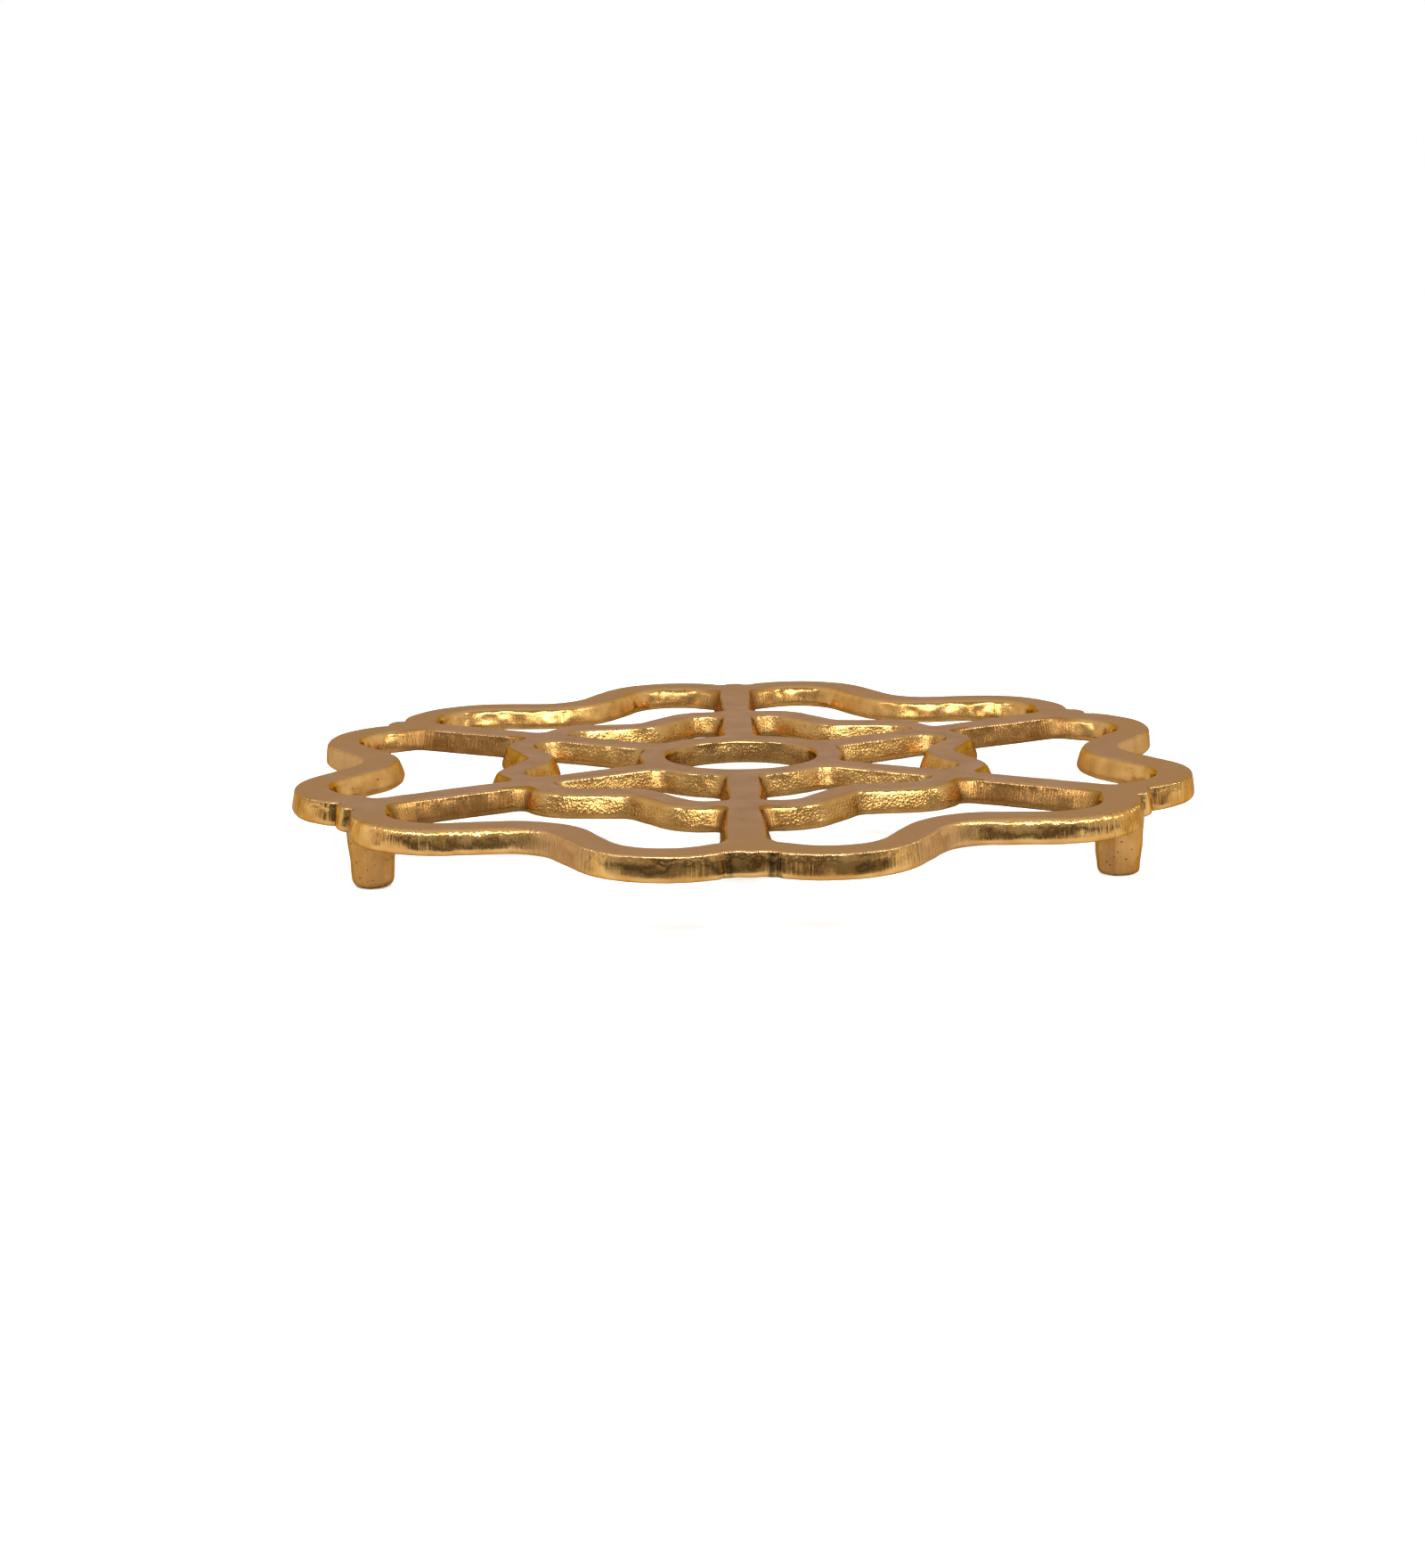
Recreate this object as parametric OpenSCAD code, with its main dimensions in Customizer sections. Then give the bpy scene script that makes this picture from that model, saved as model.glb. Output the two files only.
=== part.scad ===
// Cast brass trivet: a wavy six-petal rim, a smaller petal ring and a round hub,
// tied by six spokes, ground flat on top and standing on three pegs.
// The origin is on the table, under the middle of the hub. The front is -Y.

/* [Overall] */
// Height from the table to the ground top
total_h = 18.5; // [14:0.5:26]
// Thickness of the cast frame
plate_t = 5.5; // [4.5:0.1:7]

/* [Cast section] */
// How far an inner wall leans out between the top and the underside
inner_draft = 1.9; // [0.5:0.1:2.2]
// How far the filed outer wall of the rim leans out
outer_draft = 0.3; // [0.1:0.1:1]
// Radius of the worn edge round the ground top
top_edge_r = 0.6; // [0.3:0.1:1]
// Radius of the edge round the underside
under_edge_r = 1.1; // [0.5:0.1:1.5]

/* [Outer rim] */
// Distance from the hub's middle to the line that touches a petal's two lobes
rim_reach = 102.8; // [96:0.1:115]
// Width of the rim's flat top
rim_w = 8.2; // [6:0.1:10]
// Radius of a lobe, on the centreline of the rim
rim_lobe_r = 16.6; // [15:0.1:18]
// Sideways distance of a lobe's middle from the spoke
rim_lobe_offset = 16; // [14.5:0.1:17.5]
// How far the cleft at a spoke dips in from the lobes
rim_cleft_depth = 4.6; // [3:0.1:5.5]
// How far the valley between two petals dips in from the lobes
rim_valley_depth = 14.6; // [11:0.1:17]
// Radius of the round spoke end that shows in a cleft
nub_r = 5.2; // [4.5:0.1:6]
// How far that spoke end stands out of the cleft
nub_proud = 2; // [0.5:0.1:2.5]

/* [Petal ring] */
// Distance from the hub's middle to the line that touches a petal's corners
petal_reach = 57.8; // [54:0.1:64]
// Width of the petal ring's flat top
petal_w = 6.6; // [5:0.1:8]
// Radius of a petal's corner arc, on the centreline
petal_lobe_r = 8.6; // [7.6:0.1:10]
// Sideways distance of the corner arc's middle from the spoke
petal_lobe_offset = 8; // [7:0.1:9]
// How far a petal's end dips at the spoke
petal_dip = 0.3; // [0.2:0.05:0.6]
// How far the valley between two petals dips in
petal_valley_depth = 7.7; // [6:0.1:9]

/* [Hub ring] */
// Radius of the hole in the hub, at the ground top
hub_hole_r = 17.4; // [12:0.1:22]
// Width of the hub ring's flat top
hub_w = 6.2; // [4.5:0.1:8]

/* [Spokes] */
// Width of the spokes between the hub and the petal ring
inner_spoke_w = 6.6; // [4.5:0.1:8]
// Width of the spokes between the petal ring and the rim
outer_spoke_w = 7.4; // [5:0.1:9]

/* [Feet] */
// Diameter of a foot where it meets the rim
foot_top_d = 10.6; // [9:0.1:11]
// Diameter of a foot at the table, before its edge is rounded
foot_tip_d = 8.6; // [7:0.1:10]
// Radius of the edge round a foot's end
foot_edge_r = 1.5; // [0.5:0.1:2.5]

/* [Hidden] */
$fn = 96;
petals = 6;
petal_turn = 360 / petals;
// Way out through the valley to the right of the petal on the Y axis
valley_at = 90 - petal_turn / 2;
foot_h = total_h - plate_t;
hub_mid_r = hub_hole_r + hub_w / 2;
// Reach of a ring's centreline at its lobes, and at the spoke between them
rim_tip = rim_reach - rim_w / 2;
rim_crown = rim_tip - rim_cleft_depth;
petal_tip = petal_reach - petal_w / 2;
petal_crown = petal_tip - petal_dip;
// A foot's outer side is flush with the rim's wall in the cleft
foot_reach = rim_crown + rim_w / 2 + outer_draft - foot_top_d / 2;
// Radius of a valley, as a share of the widest arc that still meets the lobes beside it
rim_valley_share = 0.76;
petal_valley_share = 0.45;
// Flat steps round an edge of the section, and along the crown arc of each ring
edge_steps = 2;
rim_crown_steps = 12;
petal_crown_steps = 4;
// Most that a flat step may stray from a true arc
arc_error = 0.1;
brass_ground = [0.64, 0.50, 0.36];
brass_cast = [0.74, 0.56, 0.32];
brass_foot = [0.70, 0.53, 0.30];
// Turns from the back of the trivet to each spoke, anticlockwise seen from above
at_back = 0;
at_back_left = petal_turn;
at_front_left = 2 * petal_turn;
at_front = 3 * petal_turn;
at_front_right = 4 * petal_turn;
at_back_right = 5 * petal_turn;

function unit(v) = v / norm(v);
function polar(angle) = [cos(angle), sin(angle)];
function heading(v) = atan2(v.y, v.x);
function reversed(list) = [for (i = [len(list) - 1:-1:0]) list[i]];
// The shorter way round from one angle to another
function turn(from, to) = (to - from + 540) % 360 - 180;

// The points of an arc of radius r that rounds the corner p between its two neighbours
function rounded_corner(before, p, after, r) =
    let (
        a = unit(before - p),
        b = unit(after - p),
        half = acos(a * b) / 2,
        middle = p + unit(a + b) * r / sin(half),
        start = heading(p + a * r / tan(half) - middle),
        sweep = turn(start, heading(p + b * r / tan(half) - middle))
    )
    [for (i = [0:edge_steps]) middle + r * polar(start + sweep * i / edge_steps)];

// The section of a cast member: flat top and underside, leaning walls and rounded edges.
// X runs out across the member and Y runs up from its underside.
function cast_section(w, draft_out, draft_in) =
    let (
        in_low = [-w / 2 - draft_in, 0],
        out_low = [w / 2 + draft_out, 0],
        out_top = [w / 2, plate_t],
        in_top = [-w / 2, plate_t]
    )
    concat(
        rounded_corner(in_top, in_low, out_low, under_edge_r),
        rounded_corner(in_low, out_low, out_top, under_edge_r),
        rounded_corner(out_low, out_top, in_top, top_edge_r),
        rounded_corner(out_top, in_top, in_low, top_edge_r)
    );
rim_section = cast_section(rim_w, outer_draft, inner_draft);
petal_section = cast_section(petal_w, inner_draft, inner_draft);
hub_section = cast_section(hub_w, inner_draft, inner_draft);

// A ring's centreline, for one petal on the Y axis, is a chain of arcs that touch:
// half a valley, a lobe, the crown arc that dips at the spoke, a lobe, half a valley.
function crown_radius(r, offset, dip) = (offset * offset - 2 * r * dip + dip * dip) / (2 * dip);
// The widest valley arc that touches a lobe of radius r, with its floor at a given reach
function widest_valley(lobe, r, floor_reach) =
    let (along = lobe * polar(valley_at))
    (lobe * lobe - 2 * floor_reach * along + floor_reach * floor_reach - r * r)
    / (2 * (along - floor_reach + r));

// One stop on a centreline: the arc's middle and radius, the way out from that middle,
// the side that the ring's outside is on (1 away from the middle, -1 towards it)
// and how far the outer wall bulges there
function stop(middle, r, angle, side, bulge) = [middle, r, angle, side, bulge];
function steps(r, sweep) = ceil(abs(sweep) / (2 * acos(1 - arc_error / r)));
// The stops of an arc, with the one at its end only where ends is 1
function arc_stops(middle, r, from, to, side, ends) =
    let (n = steps(r, to - from))
    [for (i = [0:n - 1 + ends]) stop(middle, r, from + (to - from) * i / n, side, 0)];

// How far the round spoke end stands out of a crown arc of radius r, at an angle off the spoke
function nub_bulge(r, off) =
    let (
        wall_r = r - rim_w / 2,
        nub_gap = wall_r - nub_proud + nub_r,
        inside = nub_r * nub_r - pow(nub_gap * sin(off), 2)
    )
    inside <= 0 ? 0 : max(0, wall_r - nub_gap * cos(off) + sqrt(inside));

// The stops of one petal, anticlockwise from the valley on its right to the one on its left
function petal_stops(tip, r, offset, dip, depth, valley_share, crown_steps, has_nub) =
    let (
        lobe = [offset, tip - r],
        crown_r = crown_radius(r, offset, dip),
        crown = [0, tip - dip + crown_r],
        crown_turn = 90 - heading(crown - [-lobe.x, lobe.y]),
        valley_r = valley_share * widest_valley(lobe, r, tip - depth),
        valley = (tip - depth + valley_r) * polar(valley_at),
        flank_out = heading(valley - lobe) + acos((r + valley_r) / norm(valley - lobe)),
        lobe_end = 90 + crown_turn
    )
    concat(
        arc_stops(valley, valley_r, 180 + valley_at, 180 + flank_out, -1, 1),
        arc_stops(lobe, r, flank_out, lobe_end, 1, 0),
        [for (i = [0:crown_steps - 1])
            let (off = crown_turn * (1 - 2 * i / crown_steps))
            stop(crown, crown_r, 270 + off, -1, has_nub ? nub_bulge(crown_r, off) : 0)],
        arc_stops([-lobe.x, lobe.y], r, 180 - lobe_end, 180 - flank_out, 1, 1),
        arc_stops([-valley.x, valley.y], valley_r, -flank_out, -valley_at, -1, 0)
    );

// The same stops, turned round the hub
function turned_stops(stops, angle) =
    [for (s = stops)
        stop(norm(s[0]) * polar(heading(s[0]) + angle), s[1], s[2] + angle, s[3], s[4])];

// A closed ring: its section carried round every stop of every petal
module cast_ring(petal, section) {
    stops = [for (k = [0:petals - 1]) each turned_stops(petal, k * petal_turn)];
    n = len(stops);
    m = len(section);
    points = [
        for (s = stops)
            for (p = section)
                let (
                    out = p.x + (p.x > 0 ? s[4] : 0),
                    flat = s[0] + (s[1] + s[3] * out) * polar(s[2])
                )
                [flat.x, flat.y, foot_h + p.y]
    ];
    faces = [
        for (i = [0:n - 1])
            for (j = [0:m - 1])
                let (
                    here = i * m,
                    next = (i + 1) % n * m,
                    after = (j + 1) % m
                )
                each [
                    [here + j, here + after, next + after],
                    [here + j, next + after, next + j]
                ]
    ];
    polyhedron(points = points, faces = faces);
}

// The section turned right round the middle of a ring's crown arc: it cuts a spoke to the ring's wall
module crown_circle(section, crown, r, offset, dip) {
    crown_r = crown_radius(r, offset, dip);
    translate([0, crown + crown_r, foot_h])
        rotate_extrude()
            polygon([for (p = reversed(section)) [crown_r - p.x, p.y]]);
}

module rim_crown_circle() {
    crown_circle(rim_section, rim_crown, rim_lobe_r, rim_lobe_offset, rim_cleft_depth);
}

module petal_crown_circle() {
    crown_circle(petal_section, petal_crown, petal_lobe_r, petal_lobe_offset, petal_dip);
}

module hub_body() {
    translate([0, 0, foot_h])
        rotate_extrude()
            polygon([for (p = hub_section) [hub_mid_r + p.x, p.y]]);
}

// A straight cast bar along the spoke on the Y axis
module bar(w, from, to) {
    translate([0, to, foot_h])
        rotate([90, 0, 0])
            linear_extrude(height = to - from)
                polygon(cast_section(w, inner_draft, inner_draft));
}

module outer_rim() {
    color(brass_cast)
        cast_ring(
            petal_stops(rim_tip, rim_lobe_r, rim_lobe_offset, rim_cleft_depth,
                        rim_valley_depth, rim_valley_share, rim_crown_steps, true),
            rim_section
        );
}

module petal_ring() {
    color(brass_cast)
        cast_ring(
            petal_stops(petal_tip, petal_lobe_r, petal_lobe_offset, petal_dip,
                        petal_valley_depth, petal_valley_share, petal_crown_steps, false),
            petal_section
        );
}

module hub_ring() {
    color(brass_ground)
        hub_body();
}

module inner_spoke(at) {
    color(brass_ground)
        rotate([0, 0, at])
            difference() {
                bar(inner_spoke_w, hub_mid_r, petal_crown);
                hub_body();
                petal_crown_circle();
            }
}

module outer_spoke(at) {
    color(brass_ground)
        rotate([0, 0, at])
            difference() {
                bar(outer_spoke_w, petal_crown, rim_crown);
                petal_crown_circle();
                rim_crown_circle();
            }
}

module foot(at) {
    middle_low = [0, 0];
    side_low = [foot_tip_d / 2, 0];
    side_top = [foot_top_d / 2, foot_h];
    color(brass_foot)
        rotate([0, 0, at])
            translate([0, foot_reach, 0])
                rotate_extrude()
                    polygon(concat(
                        [middle_low],
                        rounded_corner(middle_low, side_low, side_top, foot_edge_r),
                        [side_top, [0, foot_h]]
                    ));
}

module inner_spoke_front() { inner_spoke(at_front); }
module inner_spoke_front_right() { inner_spoke(at_front_right); }
module inner_spoke_back_right() { inner_spoke(at_back_right); }
module inner_spoke_back() { inner_spoke(at_back); }
module inner_spoke_back_left() { inner_spoke(at_back_left); }
module inner_spoke_front_left() { inner_spoke(at_front_left); }
module outer_spoke_front() { outer_spoke(at_front); }
module outer_spoke_front_right() { outer_spoke(at_front_right); }
module outer_spoke_back_right() { outer_spoke(at_back_right); }
module outer_spoke_back() { outer_spoke(at_back); }
module outer_spoke_back_left() { outer_spoke(at_back_left); }
module outer_spoke_front_left() { outer_spoke(at_front_left); }
module foot_back() { foot(at_back); }
module foot_front_left() { foot(at_front_left); }
module foot_front_right() { foot(at_front_right); }

outer_rim();
petal_ring();
hub_ring();
inner_spoke_front();
inner_spoke_front_right();
inner_spoke_back_right();
inner_spoke_back();
inner_spoke_back_left();
inner_spoke_front_left();
outer_spoke_front();
outer_spoke_front_right();
outer_spoke_back_right();
outer_spoke_back();
outer_spoke_back_left();
outer_spoke_front_left();
foot_back();
foot_front_left();
foot_front_right();
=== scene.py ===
import bpy
import numpy as np
from mathutils import Matrix, Vector
from mathutils.geometry import tessellate_polygon


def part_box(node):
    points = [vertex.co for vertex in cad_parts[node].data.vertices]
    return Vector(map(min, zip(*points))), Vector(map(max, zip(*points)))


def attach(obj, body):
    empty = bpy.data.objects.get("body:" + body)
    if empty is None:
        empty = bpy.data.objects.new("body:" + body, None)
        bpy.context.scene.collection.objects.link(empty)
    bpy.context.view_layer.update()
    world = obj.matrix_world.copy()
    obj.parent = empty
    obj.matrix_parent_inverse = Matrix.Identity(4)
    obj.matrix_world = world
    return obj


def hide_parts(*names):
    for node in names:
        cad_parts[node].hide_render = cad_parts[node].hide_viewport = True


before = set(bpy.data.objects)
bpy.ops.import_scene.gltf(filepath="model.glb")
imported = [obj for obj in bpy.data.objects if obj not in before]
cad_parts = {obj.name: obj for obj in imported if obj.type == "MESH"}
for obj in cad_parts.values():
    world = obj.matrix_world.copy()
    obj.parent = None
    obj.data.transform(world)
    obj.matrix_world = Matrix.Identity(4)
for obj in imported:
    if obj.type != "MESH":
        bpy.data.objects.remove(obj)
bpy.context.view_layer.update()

# Hub ring
# The round ring in the middle of the trivet, and the start of the six spokes that leave it. It is
# brass, poured with all the rest in one sand mould, so that its walls lean and its corners are
# full. The top is ground flat and the walls stay as they came out of the sand.

# Sizes are in millimetres, and are turned to metres where a mesh or a material takes them.
MM = 0.001
PETALS = 6
PETAL_TURN = 2 * np.pi / PETALS
hub_hole_radius = 17.4
hub_ring_width = 6.2
hub_middle = hub_hole_radius + hub_ring_width / 2

# Spokes go round anticlockwise from the front one. The pattern was cut by hand, so no two match.
inner_spoke_widths = np.array([6.5, 6.5, 6.8, 7.1, 6.6, 6.4])
corner_fill = 3.2
inner_spoke_end = 60.0

# A wall leans out from the top down, so that the pattern could be drawn from the sand, and runs a
# little way in over both flats.
top_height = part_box("hub_ring")[1].z / MM
under_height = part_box("hub_ring")[0].z / MM
plate = top_height - under_height
inner_lean = 1.9
hub_hole_lean = 1.2
top_edge_radius = 0.85
under_edge_radius = 1.1
cast_belly = 0.1
full_belly = 0.15
flat_margin = 0.35
sharp_angle = np.radians(60)


def unit(v):
    """A vector, or each vector of an array, over its own length."""
    return v / np.linalg.norm(v, axis=-1, keepdims=True)


def polar(angle):
    """The unit vector at an angle from +X."""
    return np.stack([np.cos(angle), np.sin(angle)], axis=-1)


def rounded(before, corner, after, radius, steps):
    """The points of the arc of that radius that touches both sides of a corner: its middle lies on
    the line that halves the corner, and it turns from the one touching point to the other."""
    a, b = unit(before - corner), unit(after - corner)
    half = np.arccos(a @ b) / 2
    middle = corner + unit(a + b) * radius / np.sin(half)
    start = corner + a * radius / np.tan(half) - middle
    end = corner + b * radius / np.tan(half) - middle
    share = np.linspace(0, 1, steps + 1)[:, None]
    turn = np.arccos(np.clip(unit(start) @ unit(end), -1, 1))
    return middle + (np.sin((1 - share) * turn) * start + np.sin(share * turn) * end) / np.sin(turn)


def wall_profile(lean, belly, top_radius, wall_steps=8, edge_steps=6):
    """A wall from the underside's flat to the top's flat. Each row is how far the metal has grown
    past its width at the top, and the height: a straight leaning line whose two ends are rounded
    off. The belly, half a sine over the height less 0.6, makes the wall stand out in the middle."""
    low, high = np.array([lean, under_height]), np.array([0.0, top_height])
    under = rounded(low - [plate, 0], low, high, under_edge_radius, edge_steps)
    top = rounded(low, high, high - [plate, 0], top_radius, edge_steps)
    share = np.linspace(0, 1, wall_steps + 1)[1:-1, None]
    wall = under[-1] * (1 - share) + top[0] * share
    margin = [flat_margin, 0]
    line = np.concatenate([under[:1] - margin, under, wall, top, top[-1:] - margin])
    line[:, 0] += belly * (np.sin(np.pi * (line[:, 1] - under_height) / plate) - 0.6)
    return line


# The wavelength in millimetres, height and seed of the outline's slow drift, of dents the size of a
# fingertip and of a shorter ripple. The drift is the same at all heights.
drift, dents, ripple = (42, 0.16, 1), (10, 0.06, 2), (4.2, 0.03, 3)


def waves(points, size, seed):
    """Smooth unevenness about 1 high: sixteen sine waves in random directions, of wavelengths round
    a size, added up and divided by the root of eight."""
    rng = np.random.default_rng(seed)
    ways = unit(rng.normal(size=(16, points.shape[-1])))
    lengths = size * rng.uniform(0.7, 1.5, 16)
    phases = rng.uniform(0, 2 * np.pi, 16)
    return np.sin(points @ (ways.T * 2 * np.pi / lengths) + phases).sum(-1) / np.sqrt(8)


def uneven(points):
    """What the hand-cut pattern, the sand and the file leave: drift, dents and ripple added up."""
    flat = points[..., :2]
    return sum(height * waves(place, size, seed) for place, (size, height, seed) in
               ((flat, drift), (points, dents), (points, ripple)))


def merged(a, b, fill):
    """The distance to two members at once: the smaller one, less a quadratic term where the two are
    within fill of each other, which rounds out the corner between them."""
    return np.minimum(a, b) - np.maximum(fill - np.abs(a - b), 0) ** 2 / (4 * fill)


def spoke_frame(points):
    """Which spoke is nearest, how far each point lies across it, anticlockwise, and how far along
    it."""
    turn = np.arctan2(points[..., 1], points[..., 0]) + np.pi / 2
    spoke = np.round(turn / PETAL_TURN).astype(int)
    off = turn - spoke * PETAL_TURN
    reach = np.hypot(points[..., 0], points[..., 1])
    return spoke % PETALS, reach * np.sin(off), reach * np.cos(off)


def bar(across, along, widths, start, end):
    """Distance to a straight bar with round ends, half its width outside the line from start to
    end."""
    past = np.maximum(start - along, 0) + np.maximum(along - end, 0)
    return np.hypot(across, past) - widths / 2


def hub_metal(points):
    """Distance to the hub ring and the spokes that leave it, less what is uneven."""
    spoke, across, along = spoke_frame(points)
    ring = np.abs(np.hypot(points[..., 0], points[..., 1]) - hub_middle) - hub_ring_width / 2
    widths = inner_spoke_widths[spoke]
    spokes = bar(across, along, widths, hub_middle + widths / 2, inner_spoke_end)
    return merged(ring, spokes, corner_fill) - uneven(points)


# A wall is made of upright columns. Their feet stand where the metal, grown by trace_growth, starts
# at mid height. Walls are found by walking in steps and then halving the last one.
column_step = 0.5
trace_growth = 0.8
trace_height = under_height + plate / 2
walk_step = 0.5
halvings = 18
outside_depth = 30.0
furthest_slide = 2.9


def distance(metal, flat_points, height=trace_height):
    """The distance to the metal at plan points, all at one height or each at its own."""
    heights = np.broadcast_to(height, flat_points.shape[:-1])
    return metal(np.concatenate([flat_points, heights[..., None]], axis=-1))


def first_metal(metal, origins, ways, reach):
    """Walks from each origin along its way until the metal starts, then halves the last step to
    find the wall."""
    walk = np.arange(0, reach, walk_step)
    inside = distance(metal, origins[:, None] + ways[:, None] * walk[:, None]) < trace_growth
    far = walk[np.argmax(inside, axis=1)]
    near = far - walk_step
    for _ in range(halvings):
        half = (near + far) / 2
        hit = distance(metal, origins + ways * half[:, None]) < trace_growth
        near, far = np.where(hit, near, half), np.where(hit, half, far)
    return origins + ways * far[:, None]


def rays_to_wall(metal, middle, angles, reach):
    """The wall points seen from a middle at the given angles. A negative reach looks inwards, from
    that far out."""
    ways = polar(angles)
    if reach < 0:
        return first_metal(metal, middle - ways * reach, -ways, outside_depth)
    return first_metal(metal, np.broadcast_to(middle, ways.shape), ways, reach)


def run_along(line):
    """How far each point of a line lies along it."""
    return np.concatenate([[0], np.cumsum(np.linalg.norm(np.diff(line, axis=0), axis=1))])


def columns(metal, middle, start, end, reach):
    """The foot of each wall column between two angles round a middle, evenly spaced along the wall,
    which is first measured with 400 rays a radian, and the way out of the metal there, which is the
    gradient of the distance."""
    angles = np.linspace(start, end, max(int(abs(end - start) * 400), 60))
    rough = rays_to_wall(metal, middle, angles, reach)
    run = run_along(rough)
    count = max(int(run[-1] / column_step), 8)
    angles = np.interp(np.linspace(0, run[-1], count + 1), run, angles)
    feet = rays_to_wall(metal, middle, angles, reach)
    small_steps = 0.02 * np.eye(2)
    slope = [distance(metal, feet + step) - distance(metal, feet - step) for step in small_steps]
    return feet, unit(np.stack(slope, axis=-1))


def risen(metal, feet, ways, profile):
    """The wall over its feet: at each level of the profile a point slides along its column's way
    until its distance to the metal is that level's growth, found by halving. The profile is one for
    all columns, or each its own."""
    growth, height = np.moveaxis(np.broadcast_to(profile, (len(feet), *profile.shape[-2:])), -1, 0)
    low = np.full(growth.shape, -furthest_slide)
    high = np.full(growth.shape, furthest_slide)
    for _ in range(halvings):
        half = (low + high) / 2
        flat = feet[:, None] + ways[:, None] * half[..., None]
        inside = distance(metal, flat, height) < growth
        low, high = np.where(inside, half, low), np.where(inside, high, half)
    flat = feet[:, None] + ways[:, None] * high[..., None]
    return np.concatenate([flat, height[..., None]], axis=-1)


def smooth(share):
    """A share kept between 0 and 1 and eased at both ends: three squares less two cubes."""
    share = np.clip(share, 0, 1)
    return share ** 2 * (3 - 2 * share)


beside_spoke = 8.0
window_depth = 50.0
change_run = 8.0
steady_columns = 3


def pin(metal, spoke, side, cut):
    """The wall column where a spoke is cut across, on its anticlockwise side (1) or the other (-1).
    It stands square to the spoke, so that the pieces on both sides of the cut share it."""
    along = polar(np.array([spoke * PETAL_TURN - np.pi / 2]))
    aside = side * np.stack([-along[:, 1], along[:, 0]], axis=-1)
    return first_metal(metal, along * cut + aside * beside_spoke, -aside, beside_spoke + 1), aside


def between_cuts(metal, middle, first, last, profile, far_profile=None):
    """One stretch of a window's wall, from one pin to another the shorter way round its middle.
    Each column's way is averaged with its neighbours, steady_columns to both sides, so that columns
    don't cross in a corner. Where there is a second profile, the first one turns into it over
    change_run from each pin."""
    (foot_a, way_a), (foot_b, way_b) = first, last
    start, end = [np.arctan2(*(foot[0] - middle)[::-1]) for foot in (foot_a, foot_b)]
    end = start + (end - start + np.pi) % (2 * np.pi) - np.pi
    feet, ways = columns(metal, middle, start, end, window_depth)
    feet = np.concatenate([foot_a, feet[1:-1], foot_b])
    before, after = [np.repeat(way, steady_columns + 1, axis=0) for way in (way_a, way_b)]
    ways = np.concatenate([before, ways[1:-1], after])
    window = 2 * steady_columns + 1
    ways = unit(np.lib.stride_tricks.sliding_window_view(ways, window, axis=0).sum(-1))
    ways[0], ways[-1] = way_a[0], way_b[0]
    if far_profile is not None:
        run = run_along(feet)
        share = smooth(np.minimum(run, run[-1] - run) / change_run)[:, None, None]
        profile = profile + (far_profile - profile) * share
    return risen(metal, feet, ways, profile)


def whole_loop(metal, reach, profile, clockwise, steady=4):
    """A wall that goes right round the hub's middle, seen from inside, or from outside where reach
    is negative. Each way is averaged with its neighbours, steady columns to both sides, so that
    columns don't cross in a groove. The profile is one for all columns, or a function of their feet
    that gives each its own, which is then averaged with its neighbours too."""
    feet, ways = columns(metal, np.zeros(2), 0, 2 * np.pi, reach)
    feet, ways = feet[:-1], ways[:-1]
    shifts = range(-steady, steady + 1)
    ways = unit(sum(np.roll(ways, shift, axis=0) for shift in shifts))
    if callable(profile):
        profile = sum(np.roll(profile(feet), shift, axis=0) for shift in shifts) / len(shifts)
    wall = risen(metal, feet, ways, profile)
    return wall[::-1] if clockwise else wall


hollow_radius = 1.6

# How satin the clockwise and the anticlockwise side of each petal is. The buffed sides have 0.1.
satin_sides = np.array([[1, 1], [0.1, 1], [1, 0.1], [1, 1], [0.1, 1], [1, 0.1]])


def hollow(outline):
    """How sharply the metal's outline turns inwards at each of its points: hollow_radius over its
    own radius, averaged over seven points, less a little, so that wide curves stay bright."""
    step = np.roll(outline, -1, axis=0) - outline
    turn = np.cross(np.roll(step, 1, axis=0), step) / np.linalg.norm(step, axis=1) ** 3
    turn = np.convolve(np.pad(turn, 3, mode="wrap"), np.ones(7) / 7, mode="valid")
    return np.clip(-turn * hollow_radius - 0.15, 0, 1)


def off_spoke(outline):
    """The angle from the nearest spoke, in degrees."""
    _, across, along = spoke_frame(outline)
    return np.degrees(np.abs(np.arctan2(across, along)))


def satin_side(outline):
    """1 on the sides of the petals that were left satin, and little on the buffed ones: each petal
    has a clockwise and an anticlockwise side, and two sides that meet in a valley blend over its
    last three degrees."""
    spoke, across, _ = spoke_frame(outline)
    side = (across > 0).astype(int)
    here, there = satin_sides[spoke, side], satin_sides[(spoke + 2 * side - 1) % PETALS, 1 - side]
    return here + (there - here) * smooth((off_spoke(outline) - 27) / 3) / 2


def filed_places(outline):
    """Where the file bit deepest: two smooth peaks of 1, in the angle from the nearest spoke. One
    is beside the spoke's end, and one is where the flank leaves the lobe or, on a buffed side, in
    the valley. A buffed side has 0.3 more all over."""
    off, buffed = off_spoke(outline), 1 - satin_side(outline)
    valley, flank = np.exp(-((off - 28) / 1.6) ** 2), np.exp(-((off - 19) / 1.6) ** 2)
    return np.exp(-((off - 7) / 2) ** 2) + buffed * (valley + 0.3) + (1 - buffed) * flank


def satin_places(outline):
    """Where the buff didn't reach: 1 in the valleys between the petals, from 0 on the lobes, with a
    smooth step between 17 and 21 degrees from the nearest spoke, and little on the buffed sides."""
    return smooth((off_spoke(outline) - 17) / 4) * satin_side(outline)


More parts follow.
